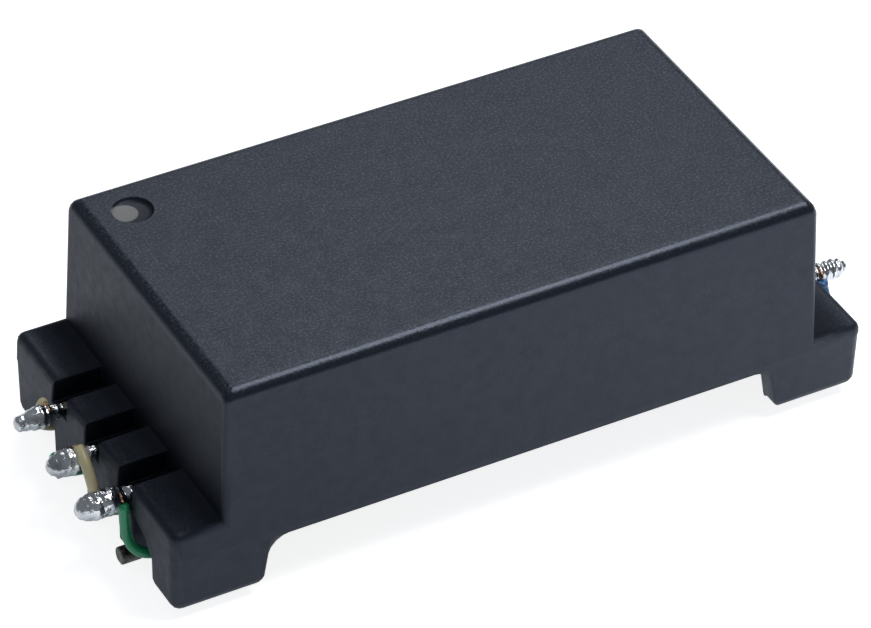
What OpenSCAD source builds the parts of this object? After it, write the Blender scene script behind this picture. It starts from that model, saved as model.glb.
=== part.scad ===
// Surface-mount signal transformer in an open-bottomed moulded case.
// Two wound toroids hang from the case roof, and their wire ends are wound and
// soldered on six leads. Units are millimetres. The origin is on the circuit
// board, under the middle of the part: +X runs along the case, away from the
// pin 1 end, and +Z points up.

/* [Case] */
// Length of the body at its top face
case_l = 22.8; // [22.2:0.1:30]
// Width of the body at its top face
case_w = 12.1; // [11.8:0.1:16]
// Height of the top face above the board
case_top = 9; // [8.75:0.05:12]
// Thickness of the side and end walls
wall_t = 0.85; // [0.6:0.05:1]
// Thickness of the roof
roof_t = 0.9; // [0.6:0.05:1]
// Slope of the outer walls above the parting plane, in degrees
wall_draft = 1.87; // [1:0.01:2.5]
// Slope of the outer walls below the parting plane, in degrees
leg_draft = 1; // [0.5:0.1:3]
// Height of the parting plane above the board
parting_z = 2.65; // [2.55:0.05:2.85]
// Height of the lower edge of the long walls above the board
sill_z = 2.35; // [2.15:0.05:2.5]
// Height of the legs' ends above the board
leg_z = 0.35; // [0.05:0.05:0.45]
// Rounding of the body's top edges
top_r = 0.5; // [0.2:0.05:0.6]
// Rounding of the upright corners
corner_r = 0.25; // [0.2:0.05:0.5]

/* [Flanges and legs] */
// Reach of the pin 1 flange beyond the body, at the parting plane
flange_a = 1.9; // [1.6:0.05:2]
// Reach of the other flange beyond the body, at the parting plane
flange_b = 1.9; // [1.6:0.05:2]
// Height of the pin 1 flange's top above the board
flange_a_top = 3.75; // [3.35:0.05:4.35]
// Height of the other flange's top above the board
flange_b_top = 3.1; // [3.05:0.05:4.35]
// Rounding of the flanges' top edges
flange_r = 0.35; // [0.1:0.05:0.4]
// Length of a leg along the long wall, at the board
leg_l = 3.35; // [3:0.05:5]
// Width of a leg across the end of the part
leg_w = 1.75; // [1.2:0.05:1.8]
// Slope of a leg's inner face, in degrees
leg_slope = 9; // [0:1:12]
// Rounding of the legs' outer lower edges
leg_edge_r = 0.3; // [0.1:0.05:0.4]
// Rounding of the legs' inner lower edges
leg_r = 0.45; // [0.1:0.05:0.8]
// Radius between a leg and the lower edge of the long wall
leg_fillet = 0.8; // [0.3:0.1:1.2]
// Diameter of the pin 1 mark, a shallow dish in the roof
mark_d = 1.45; // [1:0.05:2]
// Depth of the pin 1 mark
mark_depth = 0.12; // [0.05:0.01:0.3]
// Distance of the pin 1 mark from the two nearest sides of the top face
mark_in = 1.7; // [1.3:0.05:3]

/* [Leads] */
// Distance between neighbouring leads
pitch = 2.54; // [2.45:0.01:2.6]
// Reach of a soldered stub's tip beyond the pin 1 flange's outer face
stub_out = 1.64; // [1.55:0.01:2]
// Reach of a foot's tip beyond the pin 1 flange's outer face
foot_out = 0.22; // [0.1:0.01:0.7]
// Diameter of the lead wire
lead_d = 0.46; // [0.4:0.02:0.5]
// Diameter of a foot, with its tin
foot_d = 0.64; // [0.54:0.02:0.66]
// Depth of the flat along the underside of a foot
foot_flat = 0.03; // [0.02:0.01:0.06]
// Height of the pin 1 end's stubs above the board
stub_a_z = 2.9; // [2.8:0.05:3.05]
// Height of the other end's stubs above the board
stub_b_z = 2.55; // [2.45:0.05:2.65]
// Radius of a lead's bends, at its middle
bend_r = 0.45; // [0.35:0.05:0.6]
// Distance of a lead's upright from the flange's outer face
rise_in = 1; // [0.8:0.05:1.2]
// Gap between a lead and the case
lead_fit = 0.02; // [0.01:0.01:0.04]
// Width of the slots over the leads
slot_w = 1.08; // [0.9:0.02:1.2]
// Width of the tooth round each lead, below its stub
tooth_w = 1.1; // [1:0.02:1.2]
// Height of the teeth's lower ends above the board
tooth_z = 0.6; // [0.5:0.05:0.7]
// Height of the wire ways between the teeth
way_z = 1.7; // [1.6:0.05:1.85]
// Diameter of the solder on a stub
solder_d = 0.9; // [0.86:0.02:1]
// Thickness of the solder over a stub's tip
solder_cap = 0.2; // [0.1:0.05:0.3]

/* [Magnetics] */
// Outer diameter of a coated ferrite core
core_od = 8.6; // [8.2:0.1:8.8]
// Inner diameter of a core
core_id = 4.6; // [4.5:0.1:5]
// Height of a core
core_h = 3.8; // [3.4:0.1:4]
// Rounding of a core's edges
core_r = 0.4; // [0.2:0.05:0.6]
// Gap between the two wound cores
core_gap = 0.6; // [0.5:0.1:0.9]
// Height of the adhesive beads between a core and the roof
bead_h = 0.8; // [0.75:0.05:0.9]
// Diameter of an adhesive bead
bead_d = 1.1; // [0.8:0.1:1.2]
// Diameter of the insulated wire
wire_d = 0.4; // [0.34:0.02:0.4]
// Diameter of the bare copper in it
bare_d = 0.11; // [0.09:0.01:0.12]
// Gap between a winding and its core
wind_gap = 0.05; // [0.03:0.01:0.08]
// Turns of each winding on the transformer core
core_turns = 5; // [3:5]
// Turns of each winding on the choke core
choke_turns = 10; // [6:10]
// Turns of bare copper round a stub
wrap_turns = 2.5; // [1.5:0.5:3]
// Distance between turns round a stub
wrap_pitch = 0.2; // [0.16:0.02:0.22]

/* [Hidden] */

// The smallest height given to the thin plates that a hull is stretched over
film = 0.01;
// How far a cut runs past the face that it opens
over = 0.5;
// Flats round the case's upright corners, per full circle
corner_fn = 32;
// Sides of a wire's tube, and points on one wrap of bare copper
wire_sides = 8;
wrap_points = 12;

// Half sizes of the body at its top face and at the parting plane
body_x = case_l / 2;
body_y = case_w / 2;
body_h = case_top - parting_z;
part_x = body_x + body_h * tan(wall_draft);
part_y = body_y + body_h * tan(wall_draft);
// Outer faces of the flanges at the parting plane, as distances from the middle
face_a = part_x + flange_a;
face_b = part_x + flange_b;
// Half sizes of the hollow at the parting plane, and its roof
room_x = part_x - wall_t;
room_y = part_y - wall_t;
room_z = case_top - roof_t;

// Per pin: the end it is on, its place across the part and its solder's share
pin_side = [-1, -1, -1, 1, 1, 1];
pin_y = [pitch, 0, -pitch, -pitch, 0, pitch];
solder_share = [0.9, 1.06, 1, 0.9, 0.96, 0.93];
function face_of(s) = s < 0 ? face_a : face_b;
function stub_z(s) = s < 0 ? stub_a_z : stub_b_z;
function solder_r(i) = solder_d * solder_share[i - 1] / 2;
solder_tip = face_a + stub_out;
stub_tip = solder_tip - solder_cap;
foot_tip = face_a + foot_out;
foot_z = foot_d / 2 - foot_flat;
// Inner edge of a leg, across the part
leg_y = part_y - leg_w;
// Middle of the rounding of its inner lower edges, a little low so that the
// rounding meets the leg's end at an angle
round_z = leg_z + leg_r - film;
// Middle of the wire ways: between two leads, and between the last tooth and the leg
way_in = pitch / 2;
way_out = (pitch + tooth_w / 2 + leg_y) / 2;
// The arch between a leg and the last tooth: how far its top is below the stubs,
// how much lower it is at its bend, where that is, and its cut corners
arch_under = 0.39;
arch_rise = 0.3;
arch_in = 0.6;
arch_step = 0.15;

// Radius of the wire's middle at the outside and the inside of a core
wire_r = wire_d / 2;
out_r = core_od / 2 + wind_gap + wire_r;
in_r = core_id / 2 - wind_gap - wire_r;
wound_r = out_r + wire_r;
core_x = wound_r + core_gap / 2;
core_top = room_z - bead_h;
core_z = core_top - core_h / 2;
// Height of the wire's middle over and under a core
wire_top = core_top + wind_gap + wire_r;
wire_low = core_top - core_h - wind_gap - wire_r;
// How far the wire's corners are rounded off, and how far a wire end runs
// straight before its winding
turn_r = 0.3;
lead_in = 0.6;
// Angle between neighbouring turns, so that they clear each other in the hole
turn_step = 12;
// Distance of a wire's middle from a stub's, insulated and bare
wire_off = lead_d / 2 + wire_r + 0.02;
bare_off = lead_d / 2 + bare_d / 2 + 0.01;
// Distance from a stub's middle at which a second wire's insulation ends
tail_off = solder_d / 2 + wire_d;
// Heights that the wires keep: in the ways, and under the cores
way_wire_z = 1.07;
run_z = 2.1;
// Middle of a wire that runs along a long wall
side_y = room_y - wire_d;

// ---------------------------------------------------------------- helpers

function unit(v) = v / norm(v);

// A block with its widest outline at z_part, sloping in towards z_end, where
// its outer edge is rounded; x0 and x1 are its ends at z_part
module draft_block(x0, x1, half_y, z_part, z_end, draft, edge_r, upright_r) {
    h = abs(z_end - z_part);
    dir = z_end > z_part ? 1 : -1;
    // Each layer is [distance from the parting plane, inset]
    layers = concat([[0, 0]],
        [for (a = [0:18:90]) let (t = h - edge_r + edge_r * sin(a))
            [t, t * tan(draft) + edge_r * (1 - cos(a))]]);
    hull()
        for (layer = layers, x = [0, 1], y = [-1, 1]) {
            r = max(upright_r - layer[1] / 2, film);
            px = x == 0 ? x0 + layer[1] + r : x1 - layer[1] - r;
            z = z_part + dir * (layer[0] - (layer[0] > 0 ? film : 0));
            translate([px, y * (half_y - layer[1] - r), dir > 0 ? z : z - film])
                cylinder(r = r, h = film, $fn = corner_fn);
        }
}

// A smooth curve from the first to the last of some hand-placed points. It
// rounds each corner between them from the middle of one side to the next.
function smooth(p, n = 4) = concat(
    [p[0]],
    [for (i = [1:len(p) - 2], k = [0:n - 1])
        let (a = (p[i - 1] + p[i]) / 2, b = p[i], c = (p[i] + p[i + 1]) / 2,
             t = (k + 0.5) / n)
        (1 - t) * (1 - t) * a + 2 * t * (1 - t) * b + t * t * c],
    [p[len(p) - 1]]);

// The direction of a path at each of its points
function tangents(p) = [for (i = [0:len(p) - 1])
    i == 0 ? unit(p[1] - p[0])
    : i == len(p) - 1 ? unit(p[i] - p[i - 1])
    : unit(unit(p[i + 1] - p[i]) + unit(p[i] - p[i - 1]))];

// A sideways vector at each point, carried along without twist
function sideways(t) = [
    for (i = 0, n = unit(cross(t[0], abs(t[0][2]) < 0.9 ? [0, 0, 1] : [1, 0, 0]));
         i < len(t);
         i = i + 1, n = i < len(t) ? unit(n - (n * t[i]) * t[i]) : n) n];

// A round tube of radius r along a path
module tube(path, r, sides = wire_sides) {
    t = tangents(path);
    s = sideways(t);
    rings = len(path);
    points = [for (i = [0:rings - 1], k = [0:sides - 1])
        let (a = 360 * k / sides)
        path[i] + r * (cos(a) * s[i] + sin(a) * cross(t[i], s[i]))];
    ends = [[for (k = [0:sides - 1]) k],
            [for (k = [sides - 1:-1:0]) (rings - 1) * sides + k]];
    skin = [for (i = [0:rings - 2], k = [0:sides - 1])
        let (a = i * sides + k, b = i * sides + (k + 1) % sides)
        each [[a, a + sides, b + sides], [a, b + sides, b]]];
    polyhedron(points = points, faces = concat(ends, skin));
}

// ------------------------------------------------------------------- case

// The lead's shape: stub, upright and foot, grown by a gap all round
module lead_shape(s, gap = 0) {
    r = lead_d / 2 + gap;
    rise_x = face_of(s) - rise_in;
    z_top = stub_z(s);
    mirror([s < 0 ? 1 : 0, 0, 0]) {
        // Stub
        translate([rise_x + bend_r, 0, z_top])
            rotate([0, 90, 0])
                cylinder(r = r, h = stub_tip - rise_x - bend_r, $fn = 24);
        // Upper bend
        translate([rise_x + bend_r, 0, z_top - bend_r])
            rotate([90, 0, 0])
                rotate([0, 0, 90])
                    rotate_extrude(angle = 90, $fn = 48)
                        translate([bend_r, 0]) circle(r = r, $fn = 24);
        // Upright
        translate([rise_x, 0, foot_z + bend_r])
            cylinder(r = r, h = z_top - foot_z - 2 * bend_r, $fn = 24);
        // Lower bend
        translate([rise_x + bend_r, 0, foot_z + bend_r])
            rotate([90, 0, 0])
                rotate([0, 0, 180])
                    rotate_extrude(angle = 90, $fn = 48)
                        translate([bend_r, 0]) circle(r = r, $fn = 24);
        // Foot, flattened underneath
        intersection() {
            translate([rise_x + bend_r - gap, 0, foot_z])
                rotate([0, 90, 0])
                    cylinder(r = foot_d / 2 + gap,
                             h = foot_tip - rise_x - bend_r + gap, $fn = 32);
            translate([0, -foot_d, -gap])
                cube([foot_tip + over, 2 * foot_d, foot_d + 2 * gap]);
        }
    }
}

// What the rounding of an inner lower edge takes off a leg, whose face is at x at
// the height of the rounding's middle and slopes inwards above it
module leg_rounding(x, slope = 0) {
    mid_x = x + leg_r / cos(slope);
    difference() {
        translate([mid_x - 2 * leg_r, -over])
            square([2 * leg_r, round_z - leg_r * sin(slope) + over]);
        translate([mid_x, round_z])
            rotate(slope)
                circle(r = leg_r, $fn = 32);
    }
}

// The space between two legs, seen from the long side
module leg_gap() {
    low = sill_z - leg_fillet;
    half = face_b - leg_l;
    half_top = half - low * tan(leg_slope);
    translate([0, case_w, 0])
        rotate([90, 0, 0])
            linear_extrude(2 * case_w) {
                polygon([[-half_top, low], [-half, 0], [-half, -over],
                         [half, -over], [half, 0], [half_top, low]]);
                translate([leg_fillet - half_top, 0])
                    square([2 * (half_top - leg_fillet), sill_z]);
                for (m = [0, 1]) mirror([m, 0]) {
                    translate([half_top - leg_fillet, low])
                        circle(r = leg_fillet, $fn = 32);
                    leg_rounding(half - round_z * tan(leg_slope), leg_slope);
                }
            }
}

// The ways that the wires take under an end, seen from that end
module wire_ways(s) {
    tooth = tooth_w / 2;
    arch_z = stub_z(s) - arch_under;
    outer = [
        [pitch + tooth, -over], [leg_y, -over], [leg_y, way_z - arch_step],
        [leg_y - arch_step, way_z + arch_step], [leg_y - arch_in, arch_z - arch_rise],
        [pitch + tooth + arch_step, arch_z], [pitch + tooth, arch_z]];
    translate([s > 0 ? room_x - over : -face_a - over, 0, 0])
        rotate([90, 0, 90])
            linear_extrude(face_of(s) - room_x + 2 * over) {
                // Between the teeth, with rounded upper corners
                for (y = [-way_in, way_in]) {
                    half = way_in - tooth;
                    translate([y - half, -over])
                        square([2 * half, way_z + over - half]);
                    translate([y, way_z - half])
                        circle(r = half, $fn = 32);
                }
                // Under the teeth
                translate([-pitch - tooth - film, -over])
                    square([2 * (pitch + tooth + film), tooth_z + over]);
                // Outside the last tooth, sloping up from the leg to the slot
                for (m = [0, 1]) mirror([m, 0]) {
                    polygon(outer);
                    leg_rounding(leg_y);
                }
            }
}

module case() {
    color("#2b2d33")
    difference() {
        union() {
            draft_block(-part_x, part_x, part_y, parting_z, case_top,
                        wall_draft, top_r, corner_r);
            draft_block(-face_a, 0, part_y, parting_z, flange_a_top,
                        wall_draft, flange_r, corner_r);
            draft_block(0, face_b, part_y, parting_z, flange_b_top,
                        wall_draft, flange_r, corner_r);
            draft_block(-face_a, face_b, part_y, parting_z, leg_z,
                        leg_draft, leg_edge_r, corner_r);
        }
        // Hollow for the cores
        draft_block(-room_x, room_x, room_y, -over, room_z,
                    wall_draft, top_r, corner_r);
        leg_gap();
        for (s = [-1, 1]) {
            wire_ways(s);
            // Slots over the stubs
            for (y = [-pitch, 0, pitch])
                translate([s > 0 ? part_x : -face_a - over, y - slot_w / 2,
                           stub_z(s) - 0.05])
                    cube([face_of(s) - part_x + over, slot_w, case_top / 2]);
        }
        // Ways of the leads
        for (i = [0:5])
            translate([0, pin_y[i], 0]) lead_shape(pin_side[i], lead_fit);
        // Pin 1 mark
        translate([-body_x + mark_in, body_y - mark_in, case_top - mark_depth])
            cylinder(d = mark_d, h = over, $fn = 48);
    }
}

// ------------------------------------------------------- leads and solder

module pin(i) {
    color("#c9c7c2")
        translate([0, pin_y[i - 1], 0]) lead_shape(pin_side[i - 1]);
}

// The solder that covers a stub's wrapped end and closes over its tip
module solder(i) {
    s = pin_side[i - 1];
    r = solder_r(i);
    hole = bare_off + bare_d / 2 + 0.01;
    long = wrap_turns * wrap_pitch + 0.35;
    color("#dcdddc")
        translate([0, pin_y[i - 1], stub_z(s)])
            mirror([s < 0 ? 1 : 0, 0, 0])
                translate([solder_tip, 0, 0])
                    rotate([0, -90, 0])
                        rotate_extrude($fn = 32)
                            polygon([[0, 0], [r * 0.4, 0.02], [r * 0.75, 0.16],
                                     [r * 0.94, 0.34], [r, 0.55],
                                     [r, long * 0.8], [r * 0.97, long + 0.1],
                                     [hole, long + 0.12], [hole, solder_cap + 0.02],
                                     [lead_d / 2 + 0.01, solder_cap + 0.01],
                                     [lead_d / 2 + 0.01, solder_cap],
                                     [0, solder_cap]]);
}

// ---------------------------------------------------------------- magnetics

module core(x) {
    w = (core_od - core_id) / 2;
    color("#4d6b57")
        translate([x, 0, core_z])
            rotate_extrude($fn = 96)
                translate([core_id / 2, -core_h / 2]) {
                    translate([core_r, 0]) square([w - 2 * core_r, core_h]);
                    translate([0, core_r]) square([w, core_h - 2 * core_r]);
                    for (a = [core_r, w - core_r], b = [core_r, core_h - core_r])
                        translate([a, b]) circle(r = core_r, $fn = 32);
                }
}

// Two beads between a core and the roof, at the gaps between the windings
module adhesive(x) {
    mid_r = (core_od + core_id) / 4;
    color("#e8e4d8")
        for (s = [-1, 1])
            translate([x + s * mid_r, 0, core_top])
                cylinder(d = bead_d, h = bead_h, $fn = 32);
}

// The path of n turns round a core at x, the first at angle a0: up the outside,
// in over the top, down the hole and out underneath
function turns(x, a0, n) =
    let (section = [
        [out_r, wire_low + turn_r], [out_r, wire_top - turn_r],
        [out_r - turn_r, wire_top], [in_r + turn_r, wire_top],
        [in_r, wire_top - turn_r], [in_r, wire_low + turn_r],
        [in_r + turn_r, wire_low], [out_r - turn_r, wire_low]])
    [for (k = [0:n - 1], j = [0:7])
        let (a = a0 + turn_step * (k + j / 8), q = section[j])
        [x + q[0] * cos(a), q[0] * sin(a), q[1]]];

// The two points before a winding's first turn, straight below it, and the two
// after its last, straight out from the core
function below(x, a0) = [for (z = [wire_low - lead_in, wire_low])
    [x + out_r * cos(a0), out_r * sin(a0), z]];
function beyond(x, a1) = [for (r = [out_r + 0.05, out_r + 0.45])
    [x + r * cos(a1), r * sin(a1), wire_low]];

// Points beside the stub of pin i, d from its middle: at angle f round it,
// where 90 is its top, and x from the flange's outer face
function by_stub(i, x, f, d) =
    let (s = pin_side[i - 1])
    [s * (face_of(s) + x), pin_y[i - 1] + d * cos(f), stub_z(s) + d * sin(f)];

// A bare end: from just past the insulated wire's end at angle f0, in to the
// stub and round it; turn is 1 or -1
function wrap(i, x, f0, turn) =
    let (n = round(wrap_turns * wrap_points))
    [for (k = [0:n])
        let (t = (k + 0.4) / wrap_points, near = min(t * 4, 1))
        by_stub(i, x + wrap_pitch * t, f0 + turn * 360 * t,
                wire_off + (bare_off - wire_off) * near)];

// A second wire's bare end, straight in to the solder that is on the stub
function tail(i, x, f) =
    [by_stub(i, x, f, tail_off - 2 * film),
     by_stub(i, x, f, solder_r(i) + bare_d / 2)];

// A point at y and z, x beyond the flange's outer face or x inside the end wall
function outside(s, x, y, z) = [s * (face_of(s) + x), y, z];
function inside(s, x, y, z) = [s * (room_x - x), y, z];

// The way in of each wire end, from outside an end wall at y to its inside
function way(s, y) = [
    outside(s, -0.4, y, way_wire_z), inside(s, -0.4, y, way_wire_z)];

// Points of a list from its last to its first
function back(p) = [for (i = [len(p) - 1:-1:0]) p[i]];

// Where each wire end meets its stub: [pin, x, angle, turning], where a turning
// of 0 is a second wire on the stub, which isn't wound
yellow_1 = [1, 0.38, 30, 1];
yellow_2 = [2, 0.48, 90, -1];
green_2 = [2, 0.95, -30, 0];
green_3 = [3, 0.2, 180, -1];
blue_4 = [4, 0.4, 180, -1];
blue_5 = [5, 0.3, 180, -1];
red_5 = [5, 1, -30, 0];
red_6 = [6, 0.4, 0, 1];
function landing(e) = by_stub(e[0], e[1], e[2], e[3] == 0 ? tail_off : wire_off);
function copper(e) =
    e[3] == 0 ? tail(e[0], e[1], e[2]) : wrap(e[0], e[1], e[2], e[3]);
// A point that the wire passes just before it meets its stub
function approach(e, d = 0.25) = landing(e)
    + d * (e[3] == 0 ? [0, cos(e[2]), sin(e[2])] : e[3] * [0, sin(e[2]), -cos(e[2])]);

// The routes of the wire ends, from each stub to its winding
yellow_1_route = concat(
    [landing(yellow_1), approach(yellow_1),
     outside(-1, 0.44, way_out - 0.4, 2.25), outside(-1, 0.34, way_out, 1.55)],
    way(-1, way_out),
    [inside(-1, 0.36, way_out + 0.15, 1.25), [-core_x - 3.45, 4.3, 1.75],
     [-core_x - 1.85, 4.4, 2.25]]);
yellow_2_route = concat(
    [landing(yellow_2), by_stub(2, 0.48, 135, wire_off + 0.03),
     outside(-1, 0.49, -0.72, 3), outside(-1, 0.49, -1.05, 2.6),
     outside(-1, 0.44, -1.15, 2.15), outside(-1, 0.29, -1.22, 1.5)],
    way(-1, -way_in),
    [inside(-1, 0.36, -1.2, 1.15), inside(-1, 0.56, -0.6, 1.65),
     inside(-1, 0.41, 0.5, 2.45)]);
green_2_route = concat(
    [landing(green_2), approach(green_2), outside(-1, 0.79, 1.15, 1.8),
     outside(-1, 0.49, 1.25, 1.3)],
    way(-1, way_in),
    [inside(-1, -0.14, 1.1, 1.15), inside(-1, 0.76, 0.4, 1.3),
     inside(-1, 1.26, -0.6, 1.55)]);
green_3_route = concat(
    [landing(green_3), approach(green_3), outside(-1, 0.21, -3.02, 2.25),
     outside(-1, 0.24, -3.2, 1.7), outside(-1, 0.11, -3.5, 1.27)],
    way(-1, -way_out),
    [inside(-1, 0.36, -way_out - 0.15, 1.25), [-core_x - 3.55, 0.3 - side_y, 1.75],
     [-core_x - 1.95, -side_y, 2.65]]);
blue_4_route = concat(
    [landing(blue_4), approach(blue_4), outside(1, 0.39, -3.2, 2.05),
     outside(1, 0.29, -3.6, 1.45)],
    way(1, -way_out),
    [inside(1, 0.16, -3.7, 1.3), inside(1, 0.56, -3.4, 1.95),
     inside(1, 0.76, -2.9, 2.85)]);
blue_5_route = concat(
    [landing(blue_5), approach(blue_5), outside(1, 0.34, -0.6, 1.95),
     outside(1, 0.29, -1.05, 1.4)],
    way(1, -way_in),
    [inside(1, 0.16, -1.3, 1.35), inside(1, 1.76, -1.4, run_z),
     [core_x, -1.7, run_z], [0, -2.8, run_z], [-2.6, -4.1, run_z]]);
red_5_route = concat(
    [landing(red_5), approach(red_5), outside(1, 0.79, 1.15, 1.55),
     outside(1, 0.49, 1.25, 1.25)],
    way(1, way_in),
    [inside(1, 0.16, 1.3, 1.35), inside(1, 1.76, 1.4, run_z),
     [core_x, 1.7, run_z], [0, 2.8, run_z],
     [-2.4, side_y - 0.7, run_z], [-3.6, side_y, 2.65]]);
red_6_route = concat(
    [landing(red_6), approach(red_6), outside(1, 0.39, 3.2, 2.05),
     outside(1, 0.29, 3.6, 1.45)],
    way(1, way_out),
    [inside(1, 0.16, 3.7, 1.3), inside(1, 0.96, 3.1, 1.75)]);
// From the transformer to the choke, and from the choke to the transformer
blue_jump = [[0.3, -1.3, 2.8]];
red_jump = [[0, 2.4, 2.85]];

// First turn's angle of each winding, on the transformer core and on the choke
yellow_a = 108;
green_a = 198;
blue_a = 288;
red_a = 18;
blue_choke_a = 210;
red_choke_a = 30;
core_arc = core_turns * turn_step;
choke_arc = choke_turns * turn_step;

yellow_path = concat(
    smooth(concat(yellow_1_route, below(-core_x, yellow_a))),
    turns(-core_x, yellow_a, core_turns),
    smooth(concat(beyond(-core_x, yellow_a + core_arc), back(yellow_2_route))));
green_path = concat(
    smooth(concat(green_2_route, below(-core_x, green_a))),
    turns(-core_x, green_a, core_turns),
    smooth(concat(beyond(-core_x, green_a + core_arc), back(green_3_route))));
blue_path = concat(
    smooth(concat(blue_5_route, below(-core_x, blue_a))),
    turns(-core_x, blue_a, core_turns),
    smooth(concat(beyond(-core_x, blue_a + core_arc), blue_jump,
                  below(core_x, blue_choke_a))),
    turns(core_x, blue_choke_a, choke_turns),
    smooth(concat(beyond(core_x, blue_choke_a + choke_arc), back(blue_4_route))));
red_path = concat(
    smooth(concat(red_6_route, below(core_x, red_choke_a))),
    turns(core_x, red_choke_a, choke_turns),
    smooth(concat(beyond(core_x, red_choke_a + choke_arc), red_jump,
                  below(-core_x, red_a))),
    turns(-core_x, red_a, core_turns),
    smooth(concat(beyond(-core_x, red_a + core_arc), back(red_5_route))));

module winding(path, shade) {
    color(shade) tube(path, wire_r);
}

// The bare copper at a wire's two ends, wound on the stubs
module copper_ends(ends) {
    color("#c87a4b")
        for (e = ends) tube(copper(e), bare_d / 2, 6);
}

case();
pin(1);  // pin_1
pin(2);  // pin_2
pin(3);  // pin_3
pin(4);  // pin_4
pin(5);  // pin_5
pin(6);  // pin_6
solder(1);  // solder_1
solder(2);  // solder_2
solder(3);  // solder_3
solder(4);  // solder_4
solder(5);  // solder_5
solder(6);  // solder_6
core(-core_x);  // transformer_core
core(core_x);  // choke_core
adhesive(-core_x);  // transformer_adhesive
adhesive(core_x);  // choke_adhesive
winding(yellow_path, "#c9b45a");  // yellow_winding
winding(green_path, "#1f8a4c");  // green_winding
winding(blue_path, "#2f6fd0");  // blue_winding
winding(red_path, "#a83a2e");  // red_winding
copper_ends([yellow_1, yellow_2]);  // yellow_copper
copper_ends([green_2, green_3]);  // green_copper
copper_ends([blue_4, blue_5]);  // blue_copper
copper_ends([red_5, red_6]);  // red_copper
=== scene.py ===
# %% [markdown]
# # A surface-mount signal transformer, dressed in Blender
# The part is a black moulded case, open underneath. Two wound ring cores hang from its roof,
# and six leads come out of its ends. Each lead has a foot on the circuit board and a stub
# above it, on which a coloured wire's bare end is wound and soldered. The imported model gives
# the true places. This lesson builds the looks on it: first the camera and the light, then
# one finish and one piece at a time.

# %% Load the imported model
import math

import bmesh
import bpy
from mathutils import Matrix, Vector, noise


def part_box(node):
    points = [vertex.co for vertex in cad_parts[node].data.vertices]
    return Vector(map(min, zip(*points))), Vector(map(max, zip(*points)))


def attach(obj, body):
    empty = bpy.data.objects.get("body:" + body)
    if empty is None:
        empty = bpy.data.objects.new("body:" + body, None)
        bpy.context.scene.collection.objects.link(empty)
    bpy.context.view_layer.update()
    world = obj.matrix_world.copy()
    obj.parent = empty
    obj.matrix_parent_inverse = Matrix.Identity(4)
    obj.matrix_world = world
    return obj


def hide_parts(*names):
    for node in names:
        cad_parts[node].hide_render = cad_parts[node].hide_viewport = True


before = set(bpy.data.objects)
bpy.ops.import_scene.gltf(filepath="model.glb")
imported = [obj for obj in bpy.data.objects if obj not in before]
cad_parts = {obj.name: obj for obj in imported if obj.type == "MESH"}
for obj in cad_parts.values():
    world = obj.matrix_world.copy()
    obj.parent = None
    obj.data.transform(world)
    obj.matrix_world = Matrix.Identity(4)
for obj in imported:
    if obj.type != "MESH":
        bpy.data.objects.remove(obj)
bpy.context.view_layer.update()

# %% [markdown]
# ## Units and small helpers
# The scene is in metres, but a part this small is easier to think of in millimetres. So each
# shape is written in millimetres and scaled once, when its mesh is made. A new piece rides on
# the part's one body and may stand for a imported node.

# %% Make a piece from a list of points and faces
MM = 0.001


def finish_mesh(mesh, smooth=True):
    """Shades a mesh smooth and brings it from millimetres to metres."""
    mesh.transform(Matrix.Scale(MM, 4))
    mesh.polygons.foreach_set("use_smooth", [smooth] * len(mesh.polygons))
    mesh.update()
    return mesh


def new_piece(name, mesh, material, slot, *nodes):
    """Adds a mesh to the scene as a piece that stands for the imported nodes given."""
    piece = bpy.data.objects.new(name, mesh)
    piece.data.materials.append(material)
    bpy.context.scene.collection.objects.link(piece)
    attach(piece, "root")
    if nodes:
        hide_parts(*nodes)
    print(f"{name}: {len(mesh.vertices)} points, {len(mesh.polygons)} faces")
    return piece


def mesh_from(name, points, faces, smooth=True):
    mesh = bpy.data.meshes.new(name)
    mesh.from_pydata(points, [], faces)
    return finish_mesh(mesh, smooth)


def middle(node):
    """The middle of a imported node's box, in millimetres."""
    low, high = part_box(node)
    return (low + high) / 2 / MM


# %% [markdown]
# ## Camera
# The part is seen from above its pin 1 end, from far away, so that its long edges stay nearly
# parallel. A long lens on a distant camera does that. The camera hangs on a point near the
# part's middle, at an azimuth and an elevation, and leans over by about one degree.

# %% Place the camera
AZIMUTH, ELEVATION, LEAN = -29.368, 38.421, 1.341
AIM = Vector((-0.3155, -0.1886, 4.2477)) * MM
DISTANCE = 0.18353

azimuth, elevation = math.radians(AZIMUTH), math.radians(ELEVATION)
toward = Vector((math.sin(azimuth) * math.cos(elevation),
                 -math.cos(azimuth) * math.cos(elevation), math.sin(elevation)))
camera_data = bpy.data.cameras.new("camera")
camera_data.lens = 218.4
camera_data.sensor_width = 36
camera_data.clip_start = 0.01
camera_data.clip_end = 5
camera = bpy.data.objects.new("camera", camera_data)
camera.location = AIM + toward * DISTANCE
turn = toward.to_track_quat("Z", "Y").to_matrix()
camera.rotation_euler = (turn @ Matrix.Rotation(math.radians(LEAN), 3, "Z")).to_euler()
bpy.context.scene.collection.objects.link(camera)
bpy.context.scene.camera = camera
bpy.context.scene.view_settings.view_transform = "Standard"
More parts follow.
